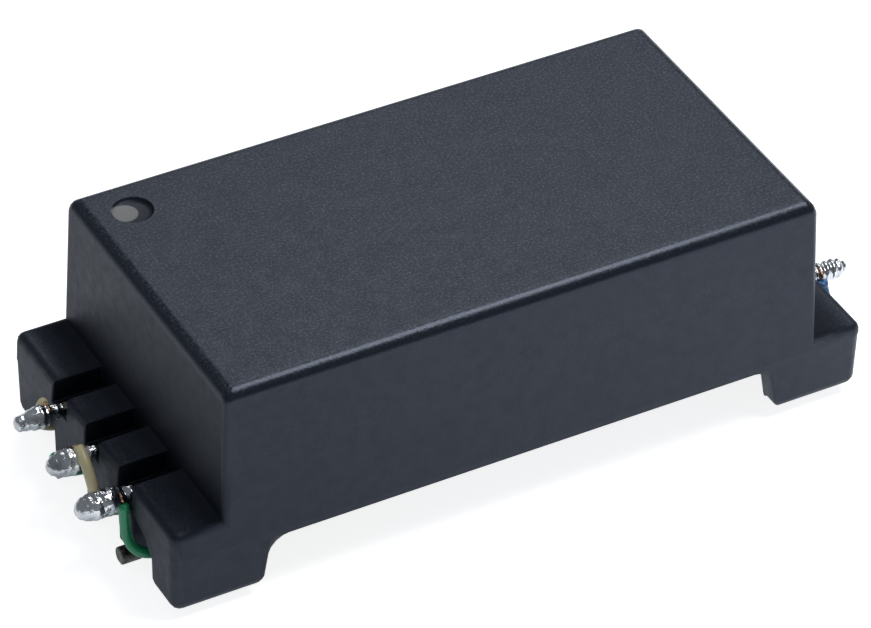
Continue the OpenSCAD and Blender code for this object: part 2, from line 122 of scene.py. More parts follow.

# %% [markdown]
# ## Light and floor
# Small dark parts show their shape by what they reflect. So one soft box stands behind and
# above the part, where the top's grain mirrors it to the camera, and a second one hangs
# overhead, where the rounded front edge mirrors it as a bright line. The walls mirror the
# table, and the room beyond is dim. The table is white for the camera and keeps the part's
# soft shadow. In reflections it glows a little blue, a painted reflection that grows brighter
# towards its near right side, which the long wall mirrors.

# %% Lamps
def soft_box(name, place, size, power, aim=(0, 0, 4)):
    """A rectangular lamp; place, size and aim are in millimetres, power in watts."""
    lamp = bpy.data.lights.new(name, "AREA")
    lamp.shape = "RECTANGLE"
    lamp.size, lamp.size_y = size[0] * MM, size[1] * MM
    lamp.energy = power
    holder = bpy.data.objects.new(name, lamp)
    holder.location = Vector(place) * MM
    away = (Vector(place) - Vector(aim)).normalized()
    holder.rotation_euler = away.to_track_quat("Z", "Y").to_euler()
    bpy.context.scene.collection.objects.link(holder)


soft_box("light_behind", (46, 78, 104), (70, 46), 0.033)
soft_box("light_over", (50, -20, 129), (70, 50), 0.080)

# %% The room
world = bpy.data.worlds.new("studio")
bpy.context.scene.world = world
world.use_nodes = True
tree = world.node_tree
tree.nodes.clear()
seen = tree.nodes.new("ShaderNodeBackground")
seen.inputs["Color"].default_value = (1, 1, 1, 1)
lit = tree.nodes.new("ShaderNodeBackground")
lit.inputs["Color"].default_value = (0.80, 0.88, 1, 1)
lit.inputs["Strength"].default_value = 0.19
path = tree.nodes.new("ShaderNodeLightPath")
mix = tree.nodes.new("ShaderNodeMixShader")
out = tree.nodes.new("ShaderNodeOutputWorld")
tree.links.new(path.outputs["Is Camera Ray"], mix.inputs["Fac"])
tree.links.new(lit.outputs["Background"], mix.inputs[1])
tree.links.new(seen.outputs["Background"], mix.inputs[2])
tree.links.new(mix.outputs["Shader"], out.inputs["Surface"])

# %% The table's paint: matte, with a glow that each kind of ray sees in its own strength
table_paint = bpy.data.materials.new("white_table")
table_paint.use_nodes = True
tree = table_paint.node_tree
tree.nodes.clear()
path = tree.nodes.new("ShaderNodeLightPath")
surface = tree.nodes.new("ShaderNodeBsdfDiffuse")
surface.inputs["Color"].default_value = (0.8, 0.8, 0.8, 1)
glow_levels = {}
# The glow to camera rays makes the table evenly white; the bluish glow to glossy rays is a
# painted reflection
for ray, color, strength in (("Is Camera Ray", (1, 1, 1, 1), 0.85),
                             ("Is Transmission Ray", (1, 1, 1, 1), 0.75),
                             ("Is Glossy Ray", (0.84, 0.90, 1, 1), 0.42)):
    glow = tree.nodes.new("ShaderNodeEmission")
    glow.inputs["Color"].default_value = color
    level = tree.nodes.new("ShaderNodeMath")
    level.operation = "MULTIPLY"
    level.inputs[1].default_value = strength
    both = tree.nodes.new("ShaderNodeAddShader")
    tree.links.new(path.outputs[ray], level.inputs[0])
    tree.links.new(level.outputs[0], glow.inputs["Strength"])
    tree.links.new(surface.outputs[0], both.inputs[0])
    tree.links.new(glow.outputs[0], both.inputs[1])
    surface = both
    glow_levels[ray] = level
out = tree.nodes.new("ShaderNodeOutputMaterial")
tree.links.new(surface.outputs[0], out.inputs["Surface"])

# %% Painted reflection: the table's glow to reflections grows brighter towards its near right side
point = tree.nodes.new("ShaderNodeNewGeometry")
across = tree.nodes.new("ShaderNodeVectorMath")
across.operation = "DOT_PRODUCT"
across.inputs[1].default_value = (0.5, -0.87, 0)
fade = tree.nodes.new("ShaderNodeMapRange")
fade.inputs["From Min"].default_value = -8 * MM
fade.inputs["From Max"].default_value = 18 * MM
fade.inputs["To Min"].default_value = 0.336
fade.inputs["To Max"].default_value = 1.008
tree.links.new(point.outputs["Position"], across.inputs[0])
tree.links.new(across.outputs["Value"], fade.inputs["Value"])
tree.links.new(fade.outputs["Result"], glow_levels["Is Glossy Ray"].inputs[1])

# %% The table, just under the feet
HALF_TABLE = 400
corners = [(-HALF_TABLE, -HALF_TABLE, 0), (HALF_TABLE, -HALF_TABLE, 0),
           (HALF_TABLE, HALF_TABLE, 0), (-HALF_TABLE, HALF_TABLE, 0)]
floor_mesh = mesh_from("table", corners, [(0, 1, 2, 3)], smooth=False)
floor = bpy.data.objects.new("table", floor_mesh)
floor.data.materials.append(table_paint)
floor.location.z = -0.02 * MM
bpy.context.scene.collection.objects.link(floor)

# %% [markdown]
# ## The case's shape
# The real case is injection moulded: walls with a slight draft, a flange at each end, legs at
# the corners, slots over the stubs, and teeth between the slots. It could be carved with
# boolean cuts, but those leave slivers that spoil the rounded edges. Instead, the space is
# divided into uneven bricks along three sets of planes, and each brick is either plastic or
# air. The skin between the two is a clean mesh whose points all meet. The draft then only
# moves the skin's points, and a bevel with a width for each edge rounds them all.

# %% Planes that divide the case
case_low, case_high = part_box("case")
FACE_A, FACE_B = -case_low.x / MM, case_high.x / MM
SIDE = case_high.y / MM
TOP = case_high.z / MM
WALL = 11.607
ROOM_X, ROOM_Y, ROOM_Z = 10.757, 5.407, 8.1
LEG_X, LEG_Y = 10.157, 4.507
PARTING, SEAM = 2.65, 0.018
PITCH, TOOTH, ARCH = 2.54, 0.545, (3.3, 4.0)
DRAFT_UP, DRAFT_DOWN = math.tan(math.radians(1.87)), math.tan(math.radians(1))
LEG_SLOPE = math.tan(math.radians(9))

planes_x = [-FACE_A, -WALL, -ROOM_X, -LEG_X, LEG_X, ROOM_X, WALL, FACE_B]
half_y = [TOOTH, PITCH - TOOTH, PITCH + TOOTH, *ARCH, LEG_Y, ROOM_Y, SIDE]
planes_y = [-y for y in reversed(half_y)] + half_y
# Each level's height at the pin 1 end and at the other end
levels = {
    "leg": (0.35, 0.35), "tooth": (0.6, 0.6), "way": (1.7, 1.7), "sill": (2.35, 2.35),
    "slot_b": (2.56, 2.5), "seam": (PARTING - 0.02, PARTING - 0.02),
    "parting": (PARTING, PARTING), "slot_a": (2.85, 2.85), "flange_b": (3.1, 3.1),
    "flange_a": (3.75, 3.75), "room": (ROOM_Z, ROOM_Z), "top": (TOP, TOP)}
level_names = list(levels)
# The top of the arch beside a leg, at each plane from the last tooth to the leg
arch_tops = {PITCH + TOOTH: (2.51, 2.16), ARCH[0]: (2.49, 2.13), ARCH[1]: (2.2, 1.86),
             LEG_Y: (1.62, 1.6)}
# How far under the arch's top its middle points stay
ARCH_STEP = 0.25
print(len(planes_x) * len(planes_y) * len(levels), "points to choose from")


# %% Which bricks are plastic
def near_lead(y):
    """Whether y is on a tooth, under a slot."""
    return min(abs(y), abs(abs(y) - PITCH)) < TOOTH


def is_plastic(x, y, z):
    """Whether the brick is plastic; x, y and z are its middle at the pin 1 end's levels."""
    end = 0 if x < 0 else 1
    ax, ay = abs(x), abs(y)
    floor_z = levels["slot_a" if end == 0 else "slot_b"][end]
    flange_z = levels["flange_a" if end == 0 else "flange_b"][end]
    if ax < ROOM_X and ay < ROOM_Y and z < ROOM_Z:
        return False
    if ax < LEG_X:
        return z > levels["sill"][end]
    if ax > WALL and (z > flange_z or near_lead(y) and z > floor_z):
        return False
    if ay > LEG_Y:
        return True
    if near_lead(y):
        return z > levels["tooth"][end]
    if ay < PITCH:
        return z > levels["way"][end]
    return z > levels["sill"][end]


# %% Where each point of the skin is
def inset(z):
    """How far the outer walls have sloped in at a height."""
    if z >= PARTING - 0.001:
        return (z - PARTING) * DRAFT_UP
    return SEAM + (PARTING - z) * DRAFT_DOWN


def skin_point(i, j, k):
    """The place of a point of the skin, from the numbers of its three planes."""
    x, y, name = planes_x[i], planes_y[j], level_names[k]
    end = 0 if x < 0 else 1
    ax, ay = abs(x), abs(y)
    z = levels[name][end]
    if ax >= ROOM_X and ay in arch_tops and name in ("sill", "way"):
        top = arch_tops[ay][end]
        z = top if name == "sill" else min(z, top - ARCH_STEP)
    if ax in (FACE_A, FACE_B):
        ax -= inset(z)
    elif ax == WALL:
        ax -= (z - PARTING) * DRAFT_UP
    elif ax == ROOM_X:
        ax -= z * DRAFT_UP
    elif ax == LEG_X:
        ax -= z * LEG_SLOPE
    if ay == SIDE:
        ay -= inset(z)
    elif ay == ROOM_Y:
        ay -= z * DRAFT_UP
    return Vector((math.copysign(ax, x), math.copysign(ay, y), z))


# %% Build the skin
def build_skin():
    """The sheet between plastic and air, with its flat stretches joined."""
    bm = bmesh.new()
    made = {}
    nx, ny, nz = len(planes_x) - 1, len(planes_y) - 1, len(levels) - 1

    def vert(key):
        if key not in made:
            made[key] = bm.verts.new(skin_point(*key))
        return made[key]

    def plastic(i, j, k):
        if not (0 <= i < nx and 0 <= j < ny and 0 <= k < nz):
            return False
        x = (planes_x[i] + planes_x[i + 1]) / 2
        end = 0 if x < 0 else 1
        z = (levels[level_names[k]][end] + levels[level_names[k + 1]][end]) / 2
        return is_plastic(x, (planes_y[j] + planes_y[j + 1]) / 2, z)

    corners = {
        (-1, 0, 0): [(0, 0, 0), (0, 0, 1), (0, 1, 1), (0, 1, 0)],
        (1, 0, 0): [(1, 0, 0), (1, 1, 0), (1, 1, 1), (1, 0, 1)],
        (0, -1, 0): [(0, 0, 0), (1, 0, 0), (1, 0, 1), (0, 0, 1)],
        (0, 1, 0): [(0, 1, 0), (0, 1, 1), (1, 1, 1), (1, 1, 0)],
        (0, 0, -1): [(0, 0, 0), (0, 1, 0), (1, 1, 0), (1, 0, 0)],
        (0, 0, 1): [(0, 0, 1), (1, 0, 1), (1, 1, 1), (0, 1, 1)]}
    for i in range(nx):
        for j in range(ny):
            for k in range(nz):
                if not plastic(i, j, k):
                    continue
                for (dx, dy, dz), quad in corners.items():
                    if not plastic(i + dx, j + dy, k + dz):
                        bm.faces.new([vert((i + a, j + b, k + c)) for a, b, c in quad])
    bm.normal_update()
    bmesh.ops.dissolve_limit(bm, angle_limit=math.radians(0.4), verts=bm.verts, edges=bm.edges)
    open_edges = sum(not e.is_manifold for e in bm.edges)
    print("skin:", len(bm.verts), "points,", len(bm.faces), "faces,", open_edges, "open edges")
    return bm


# %% Choose each edge's rounding
BODY_R, UPRIGHT_R = 0.5, 0.25
FLANGE_R, FLANGE_UPRIGHT_R = 0.33, 0.35
LEG_R, LEG_IN_R, FILLET_R = 0.4, 0.45, 0.75
TOOTH_R, SMALL_R = 0.08, 0.05
# The draft moves a point off its plane by up to this much
DRAFT_REACH = 0.35


def edge_radius(edge):
    """The rounding of an edge of the skin, from where it is and which way it runs."""
    a, b = (v.co for v in edge.verts)
    m, d = (a + b) / 2, (b - a).normalized()
    ax, ay = abs(m.x), abs(m.y)
    end = 0 if m.x < 0 else 1
    flange_z = levels["flange_a" if end == 0 else "flange_b"][end]
    face = (FACE_A, FACE_B)[end]
    on_side, on_face = ay > SIDE - DRAFT_REACH, ax > face - DRAFT_REACH
    at_flange_top = abs(m.z - flange_z) < 0.1
    if abs(m.z - PARTING) < 0.03 and max(abs(a.z - PARTING), abs(b.z - PARTING)) < 0.03:
        # The little step of the mould's parting line is too small to round
        if abs(a.z - b.z) < 0.001:
            return 0
        return FLANGE_UPRIGHT_R if on_side and on_face else TOOTH_R
    if math.degrees(edge.calc_face_angle(0)) < 12:
        return 0
    if m.z > TOP - 0.01:
        return BODY_R
    if abs(d.z) > 0.9:
        if on_side and on_face:
            return FLANGE_UPRIGHT_R
        if on_side and ax > WALL - DRAFT_REACH:
            return UPRIGHT_R
        return TOOTH_R if on_face or on_side else SMALL_R
    if m.z < levels["leg"][end] + 0.02:
        if on_side or on_face:
            return LEG_R
        inner = abs(ax - LEG_X) < 0.1 or abs(ay - LEG_Y) < 0.1
        return LEG_IN_R if inner else 2 * SMALL_R
    if at_flange_top and (on_face or on_side and ax > WALL - 0.2):
        return FLANGE_R
    if abs(m.z - levels["sill"][end]) < 0.01 and abs(d.y) > 0.9 and ax < LEG_X:
        return FILLET_R
    if at_flange_top and abs(ax - WALL) < 0.2:
        return 0
    return SMALL_R


# %% [markdown]
# ## Finishes
# A finish is more than one colour. Moulded plastic has the fine grain of the eroded steel
# that shaped it, tin and solder have duller and brighter patches, and every surface gathers
# small variations. Two effects are shared by several finishes, so each is a node group that
# is built once: a grain, which gives a height and painted glints on the tips of its bumps,
# and patches, which give a value that drifts over the surface. The shaders stay in each
# material.

# %% A node group with named sockets
def new_group(name, inputs, outputs):
    """A node group; inputs are (name, kind, value), outputs are (name, kind)."""
    group = bpy.data.node_groups.new(name, "ShaderNodeTree")
    for label, kind, value in inputs:
        socket = group.interface.new_socket(label, in_out="INPUT", socket_type=kind)
        if value is not None:
            socket.default_value = value
    for label, kind in outputs:
        group.interface.new_socket(label, in_out="OUTPUT", socket_type=kind)
    return group, group.nodes.new("NodeGroupInput"), group.nodes.new("NodeGroupOutput")


def add_node(tree, kind, label="", **settings):
    """A shader node of a kind, with a label and its own settings."""
    node = tree.nodes.new("ShaderNode" + kind)
    node.label = label
    for key, value in settings.items():
        setattr(node, key, value)
    return node


def ramp(tree, value, label, span, limits=(0, 1), smooth=True):
    """A value's link, spread from a span of its own to the limits."""
    node = add_node(tree, "MapRange", label)
    if smooth:
        node.interpolation_type = "SMOOTHSTEP"
    for socket, number in zip(("From Min", "From Max", "To Min", "To Max"), (*span, *limits)):
        node.inputs[socket].default_value = number
    tree.links.new(value, node.inputs["Value"])
    return node.outputs["Result"]


FLOAT, VECTOR = "NodeSocketFloat", "NodeSocketVector"

# %% Grain: a fine height, with the tips of its bumps as painted glints
grain_group, g_in, g_out = new_group(
    "eroded_grain",
    [("Vector", VECTOR, None), ("Scale", FLOAT, 9000), ("Sparkle", FLOAT, 0.5)],
    [("Height", FLOAT), ("Painted_Glint", FLOAT)])
fine = add_node(grain_group, "TexNoise", "grain")
fine.inputs["Detail"].default_value = 4
fine.inputs["Roughness"].default_value = 0.75
# The tips of the bumps give painted glints: a lighter colour that stands in for light caught by
# the grain
tips = ramp(grain_group, fine.outputs["Fac"], "tips", (0.46, 0.70))
amount = add_node(grain_group, "Math", "sparkle", operation="MULTIPLY")
links = grain_group.links
links.new(g_in.outputs["Vector"], fine.inputs["Vector"])
links.new(g_in.outputs["Scale"], fine.inputs["Scale"])
links.new(tips, amount.inputs[0])
links.new(g_in.outputs["Sparkle"], amount.inputs[1])
links.new(fine.outputs["Fac"], g_out.inputs["Height"])
links.new(amount.outputs[0], g_out.inputs["Painted_Glint"])

# %% Patches: a value that drifts between two limits
patch_group, p_in, p_out = new_group(
    "patches",
    [("Vector", VECTOR, None), ("Scale", FLOAT, 400), ("Low", FLOAT, 0.4),
     ("High", FLOAT, 0.6)],
    [("Value", FLOAT)])
cloud = add_node(patch_group, "TexNoise", "clouds")
cloud.inputs["Detail"].default_value = 4
spread = add_node(patch_group, "MapRange", "between the limits")
spread.inputs["From Min"].default_value = 0.3
spread.inputs["From Max"].default_value = 0.7
links = patch_group.links
links.new(p_in.outputs["Vector"], cloud.inputs["Vector"])
links.new(p_in.outputs["Scale"], cloud.inputs["Scale"])
links.new(cloud.outputs["Fac"], spread.inputs["Value"])
links.new(p_in.outputs["Low"], spread.inputs["To Min"])
links.new(p_in.outputs["High"], spread.inputs["To Max"])
links.new(spread.outputs["Result"], p_out.inputs["Value"])


# %% What every finish starts from
def new_finish(name, **sockets):
    """A material with the places of its surface in metres, and its shader."""
    material = bpy.data.materials.new(name)
    material.use_nodes = True
    tree = material.node_tree
    shader = tree.nodes["Principled BSDF"]
    for key, value in sockets.items():
        shader.inputs[key.replace("_", " ")].default_value = value
    return material, tree, add_node(tree, "TexCoord", "place"), shader


def use_group(tree, group, place, **values):
    """A group laid over a material's places, with values for its inputs."""
    node = tree.nodes.new("ShaderNodeGroup")
    node.node_tree = group
    node.label = group.name
    for key, value in values.items():
        node.inputs[key].default_value = value
    tree.links.new(place.outputs["Object"], node.inputs["Vector"])
    return node


def mix_colors(tree, factor, low, high):
    """A blend of two colours or links by a factor's link."""
    node = add_node(tree, "Mix", "colour", data_type="RGBA")
    tree.links.new(factor, node.inputs["Factor"])
    for socket, value in (("A", low), ("B", high)):
        target = [s for s in node.inputs if s.name == socket and s.type == "RGBA"][0]
        if isinstance(value, tuple):
            target.default_value = (*value, 1)
        else:
            tree.links.new(value, target)
    return [s for s in node.outputs if s.type == "RGBA"][0]


def add_bump(tree, shader, height, depth, strength=1.0):
    """Relief from a height's link; depth is in millimetres."""
    bump = add_node(tree, "Bump", "relief")
    bump.inputs["Distance"].default_value = depth * MM
    bump.inputs["Strength"].default_value = strength
    tree.links.new(height, bump.inputs["Height"])
    tree.links.new(bump.outputs["Normal"], shader.inputs["Normal"])


# %% [markdown]
# ### Moulded case plastic
# The case is a glass-filled black plastic with a blue cast. The body's top carries a fine
# eroded grain, and the tips of its bumps are painted lighter as glints, a speckle of painted
# light. The painted glints are strongest where the surface looks up and on the body's top,
# and fainter on its walls and on the low tops of the flanges. The body's rounded edges are
# smoother than its faces, and their colour is a touch lighter as a painted highlight. The mesh
# knows where they are, so an attribute on its points, and not a texture, says how much of an
# edge each place is. Two round masks are laid about points on the top: the dish of the pin 1
# mark, where the mould is polished, and the dot of pale ink that was put in it, beside its
# middle.

# %% A mask about a point
def round_mask(tree, place, centre, radius, soft):
    """One inside a ball, zero outside, with a soft rim; all in millimetres."""
    far = add_node(tree, "VectorMath", "distance", operation="DISTANCE")
    far.inputs[1].default_value = Vector(centre) * MM
    tree.links.new(place.outputs["Object"], far.inputs[0])
    span = ((radius - soft) * MM, (radius + soft) * MM)
    return ramp(tree, far.outputs["Value"], "rim", span, (1, 0))


def times(tree, *factors):
    """The product of two values or links."""
    node = add_node(tree, "Math", "product", operation="MULTIPLY")
    for socket, factor in zip(node.inputs, factors):
        if isinstance(factor, (int, float)):
            socket.default_value = factor
        else:
            tree.links.new(factor, socket)
    return node.outputs[0]


# %% Where on the case a point is: on its top, on its body, on a rounded edge
MARK, MARK_R, MARK_DEPTH = (-9.7, 4.35), 0.725, 0.16
INK, INK_R = (-9.95, 4.45), 0.47
# All flanges end below these heights, and the body's rounded top begins above them
OVER_FLANGES = (5 * MM, 6 * MM)

case_finish, tree, place, shader = new_finish(
    "case_plastic", IOR=1.5, Specular_Tint=(0.72, 0.80, 1, 1))
facing = add_node(tree, "NewGeometry", "which way it looks")
normal = add_node(tree, "SeparateXYZ", "normal")
tree.links.new(facing.outputs["Normal"], normal.inputs[0])
position = add_node(tree, "SeparateXYZ", "position")
tree.links.new(place.outputs["Object"], position.inputs[0])
rounded = add_node(tree, "Attribute", "rounded edges", attribute_name="edge")

# How strong the painted glints are: strongest where the surface looks up, and on the body above
# the flanges
upward = ramp(tree, normal.outputs["Z"], "top or wall", (0.5, 0.98), (0.12, 1))
height = position.outputs["Z"]
body_glint_share = ramp(tree, height, "body or flange", OVER_FLANGES, (0.35, 1), smooth=False)
on_body = ramp(tree, height, "body alone", OVER_FLANGES, smooth=False)
# The body's rounded edges: smoother in gloss, and a touch lighter in colour as a painted
# highlight
polish_and_highlight = times(tree, rounded.outputs["Fac"], on_body)

# %% Case colour
grain = use_group(tree, grain_group, place, Scale=11000, Sparkle=1.0)
clouds = use_group(tree, patch_group, place, Scale=350, Low=0.0, High=1.0)
plain = mix_colors(tree, clouds.outputs["Value"], (0.0085, 0.0105, 0.0155),
                   (0.0105, 0.0130, 0.0190))
# Painted glints: the grain's lighter tips, mixed into the case colour
painted_glints = times(tree, grain.outputs["Painted_Glint"], times(tree, upward, body_glint_share))
with_painted_glints = mix_colors(tree, painted_glints, plain, (0.088, 0.106, 0.142))
# Painted highlight: the body's rounded edges are a touch lighter in colour
with_edge_highlight = mix_colors(tree, times(tree, polish_and_highlight, 0.3), with_painted_glints, (0.026, 0.031, 0.042))
in_dish = round_mask(tree, place, (*MARK, TOP - MARK_DEPTH), MARK_R, 0.02)
dished = mix_colors(tree, in_dish, with_edge_highlight, (0.006, 0.007, 0.010))
in_ink = round_mask(tree, place, (*INK, TOP - 0.5 * MARK_DEPTH), INK_R, 0.03)
inked = mix_colors(tree, in_ink, dished, (0.21, 0.21, 0.20))
tree.links.new(inked, shader.inputs["Base Color"])

# %% Case gloss and relief
rough = use_group(tree, patch_group, place, Scale=2500, Low=0.42, High=0.52)
gloss = ramp(tree, polish_and_highlight, "smoother on edges", (0, 1), (1, 0.42), smooth=False)
tree.links.new(times(tree, rough.outputs["Value"], gloss), shader.inputs["Roughness"])
add_bump(tree, shader, grain.outputs["Height"], 0.010, 0.9)


# %% [markdown]
# ### Metals
# The leads are tinned wire, which is dull with brighter rubbed patches. Its colour is also
# darkened as painted shade, for the feet that stand in the part's shadow. The solder is bright,
# with a cloudy skin where it froze. The copper is freshly stripped wire. All three share the
# patches for their gloss and for their colour.

# %% Tin, solder and copper
def metal(name, dark, light, gloss, dull, scale, relief):
    """A bare metal between two colours and two roughnesses; relief is in millimetres."""
    material, tree, place, shader = new_finish(name, Metallic=1.0)
    tone = use_group(tree, patch_group, place, Scale=scale, Low=0.0, High=1.0)
    rough = use_group(tree, patch_group, place, Scale=scale * 0.7, Low=gloss, High=dull)
    skin = use_group(tree, patch_group, place, Scale=scale * 2, Low=0.0, High=1.0)
    tree.links.new(mix_colors(tree, tone.outputs["Value"], dark, light),
                   shader.inputs["Base Color"])
    tree.links.new(rough.outputs["Value"], shader.inputs["Roughness"])
    add_bump(tree, shader, skin.outputs["Value"], relief)
    return material


# The tin's dark colours are partly painted shade, for the feet that stand in the part's shadow
tin_finish = metal("lead_tin", (0.05, 0.05, 0.042), (0.22, 0.21, 0.18), 0.28, 0.5, 3500, 0.02)
solder_finish = metal("bright_solder", (0.45, 0.46, 0.47), (0.93, 0.94, 0.95), 0.08, 0.26,
                      1800, 0.02)
copper_finish = metal("bare_copper", (0.60, 0.27, 0.14), (0.80, 0.42, 0.25), 0.22, 0.36,
                      5000, 0.005)


# %% [markdown]
# ### Wire insulation, coatings and adhesive
# The wires have a thin extruded plastic coat, glossy and a little uneven in colour. The cores
# have a green sprayed coat with an orange-peel skin, and the adhesive beads are cloudy
# silicone. One function makes all of these, each with its own colours and grain.

# %% Plastics other than the case
def coat(name, dark, light, gloss, scale, relief, **sockets):
    """A coloured plastic or rubber between two colours; relief is in millimetres."""
    material, tree, place, shader = new_finish(name, **sockets)
    grain = use_group(tree, grain_group, place, Scale=scale, Sparkle=0.3)
    tone = use_group(tree, patch_group, place, Scale=scale / 5, Low=0.0, High=1.0)
    rough = use_group(tree, patch_group, place, Scale=scale / 3, Low=gloss, High=gloss + 0.12)
    tree.links.new(mix_colors(tree, tone.outputs["Value"], dark, light),
                   shader.inputs["Base Color"])
    tree.links.new(rough.outputs["Value"], shader.inputs["Roughness"])
    add_bump(tree, shader, grain.outputs["Height"], relief)
    return material


yellow_finish = coat("insulation_yellow", (0.85, 0.74, 0.38), (0.95, 0.86, 0.56), 0.28, 6000,
                     0.008, Coat_Weight=0.3)
green_finish = coat("insulation_green", (0.012, 0.38, 0.13), (0.04, 0.55, 0.24), 0.25, 6000,
                    0.006, Coat_Weight=0.3)
blue_finish = coat("insulation_blue", (0.03, 0.13, 0.36), (0.07, 0.22, 0.52), 0.25, 6000,
                   0.006, Coat_Weight=0.3)
red_finish = coat("insulation_red", (0.30, 0.03, 0.02), (0.42, 0.06, 0.04), 0.25, 6000,
                  0.006, Coat_Weight=0.3)
ferrite_finish = coat("ferrite_coating", (0.020, 0.075, 0.045), (0.035, 0.11, 0.065), 0.35,
                      3000, 0.03)
adhesive_finish = coat("adhesive", (0.62, 0.60, 0.52), (0.74, 0.72, 0.64), 0.35, 2500, 0.03)

# %% [markdown]
# ## The case
# The skin is rounded by one bevel. Its width is set by the widest fillet, and each edge takes
# a share of it: wide on the body's top edges and upright corners, narrow in the slots. The
# pin 1 mark is then cut into the top as a shallow dish. The bevel's own faces are narrow
# strips, which tells where the edges are, and the finish uses that for its gloss and for a
# painted highlight.

# %% Give each edge its share of the bevel
skin = build_skin()
weights = skin.edges.layers.float.new("bevel_weight_edge")
for edge in skin.edges:
    edge[weights] = edge_radius(edge) / FILLET_R
case_mesh = bpy.data.meshes.new("moulded_case")
skin.to_mesh(case_mesh)
skin.free()


def applied(mesh, *modifiers):
    """A mesh with modifiers applied; each is (kind, {setting: value})."""
    holder = bpy.data.objects.new("work", mesh)
    bpy.context.scene.collection.objects.link(holder)
    for kind, settings in modifiers:
        modifier = holder.modifiers.new(kind.lower(), kind)
        for key, value in settings.items():
            setattr(modifier, key, value)
    graph = bpy.context.evaluated_depsgraph_get()
    result = bpy.data.meshes.new_from_object(holder.evaluated_get(graph))
    bpy.data.objects.remove(holder)
    return result


# %% Round the edges
flat_faces = len(case_mesh.polygons)
case_mesh = applied(case_mesh, ("BEVEL", {
    "limit_method": "WEIGHT", "width": FILLET_R, "segments": 4, "use_clamp_overlap": False,
    "material": -1}))
print("bevel:", flat_faces, "faces became", len(case_mesh.polygons))


def turned(name, profile, steps=48):
    """A closed mesh of a profile of (radius, height) turned about Z, in millimetres."""
    points, faces = [], []
    for radius, height in profile:
        for k in range(steps):
            a = math.tau * k / steps
            points.append((radius * math.cos(a), radius * math.sin(a), height))
    for r in range(len(profile) - 1):
        for k in range(steps):
            a, b = r * steps + k, r * steps + (k + 1) % steps
            faces.append((a, b, b + steps, a + steps))
    faces.append(tuple(reversed(range(steps))))
    faces.append(tuple(range((len(profile) - 1) * steps, len(profile) * steps)))
    mesh = bpy.data.meshes.new(name)
    mesh.from_pydata(points, [], faces)
    return mesh


# %% Cut the pin 1 mark
dish = [(MARK_R - 0.18, -MARK_DEPTH), (MARK_R - 0.08, -MARK_DEPTH + 0.02),
        (MARK_R - 0.02, -MARK_DEPTH + 0.06), (MARK_R, -0.03), (MARK_R + 0.03, 0),
        (MARK_R + 0.03, 0.5)]
cutter = bpy.data.objects.new("mark_cutter", turned("mark_cutter", dish))
cutter.location = (*MARK, TOP)
bpy.context.scene.collection.objects.link(cutter)
bpy.context.view_layer.update()
case_mesh = applied(case_mesh, ("BOOLEAN", {"object": cutter, "solver": "EXACT"}))
bpy.data.objects.remove(cutter)

# %% Tell the finish which points are on rounded edges
STRIP = 0.6


def is_strip(mesh, polygon):
    """Whether a polygon is narrow for its length, as the bevel's own are."""
    ring = [mesh.vertices[i].co for i in polygon.vertices]
    longest = max((a - b).length for a, b in zip(ring, ring[1:] + ring[:1]))
    return polygon.area <= STRIP * longest


flat = {i for polygon in case_mesh.polygons if not is_strip(case_mesh, polygon)
        for i in polygon.vertices}
flat |= {v.index for v in case_mesh.vertices
         if (v.co.xy - Vector(MARK)).length < MARK_R + 0.1}
edge_share = case_mesh.attributes.new("edge", "FLOAT", "POINT")
edge_share.data.foreach_set("value", [float(v.index not in flat) for v in case_mesh.vertices])
print("points on rounded edges:", len(case_mesh.vertices) - len(flat))

# %% Place the case
finish_mesh(case_mesh)
case = new_piece("moulded_case", case_mesh, case_finish, "case_plastic", "case")
weighted = case.modifiers.new("even_shading", "WEIGHTED_NORMAL")
weighted.keep_sharp = False
weighted.weight = 90

# %% [markdown]
# ## Leads, cores and wires
# A copy can be welded and its triangles joined into quads, and then a subdivision gives
# round wires without kinks. Subdividing pulls a tube in by a tenth of its radius, so a
# displacement puts that back.

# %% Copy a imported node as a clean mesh
def clean_copy(node, quads):
    """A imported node's mesh in millimetres, welded, with quads or with its flat faces joined."""
    mesh = bpy.data.meshes.new(node)
    bm = bmesh.new()
    bm.from_mesh(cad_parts[node].data)
    bmesh.ops.scale(bm, vec=(1 / MM,) * 3, verts=bm.verts)
    bmesh.ops.remove_doubles(bm, verts=bm.verts, dist=0.0005)
    if quads:
        bmesh.ops.join_triangles(bm, faces=bm.faces, cmp_seam=False,
                                 angle_face_threshold=math.radians(60),
                                 angle_shape_threshold=math.radians(60))
    else:
        bmesh.ops.dissolve_limit(bm, angle_limit=math.radians(1), verts=bm.verts,
                                 edges=bm.edges)
    bm.to_mesh(mesh)
    bm.free()
    return mesh


def round_wire(node, name, radius, finish, slot):
    """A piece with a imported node's wire, made round."""
    mesh = clean_copy(node, True)
    mesh = applied(mesh, ("SUBSURF", {"levels": 1, "render_levels": 1}),
                   ("DISPLACE", {"strength": radius * 0.08, "mid_level": 0.0}))
    return new_piece(name, finish_mesh(mesh), finish, slot, node)


for color, finish in (("yellow", yellow_finish), ("green", green_finish),
                      ("blue", blue_finish), ("red", red_finish)):
    round_wire(f"{color}_winding", f"{color}_wire", 0.2, finish, f"insulation_{color}")
    round_wire(f"{color}_copper", f"{color}_strand", 0.055, copper_finish, "copper")

# %% Leads
for i in range(1, 7):
    mesh = applied(clean_copy(f"pin_{i}", False), ("BEVEL", {
        "limit_method": "ANGLE", "angle_limit": math.radians(50), "width": 0.04,
        "segments": 2, "use_clamp_overlap": False}))
    lead = new_piece(f"lead_{i}", finish_mesh(mesh), tin_finish, "lead_tin", f"pin_{i}")
    lead.modifiers.new("even_shading", "WEIGHTED_NORMAL").keep_sharp = False
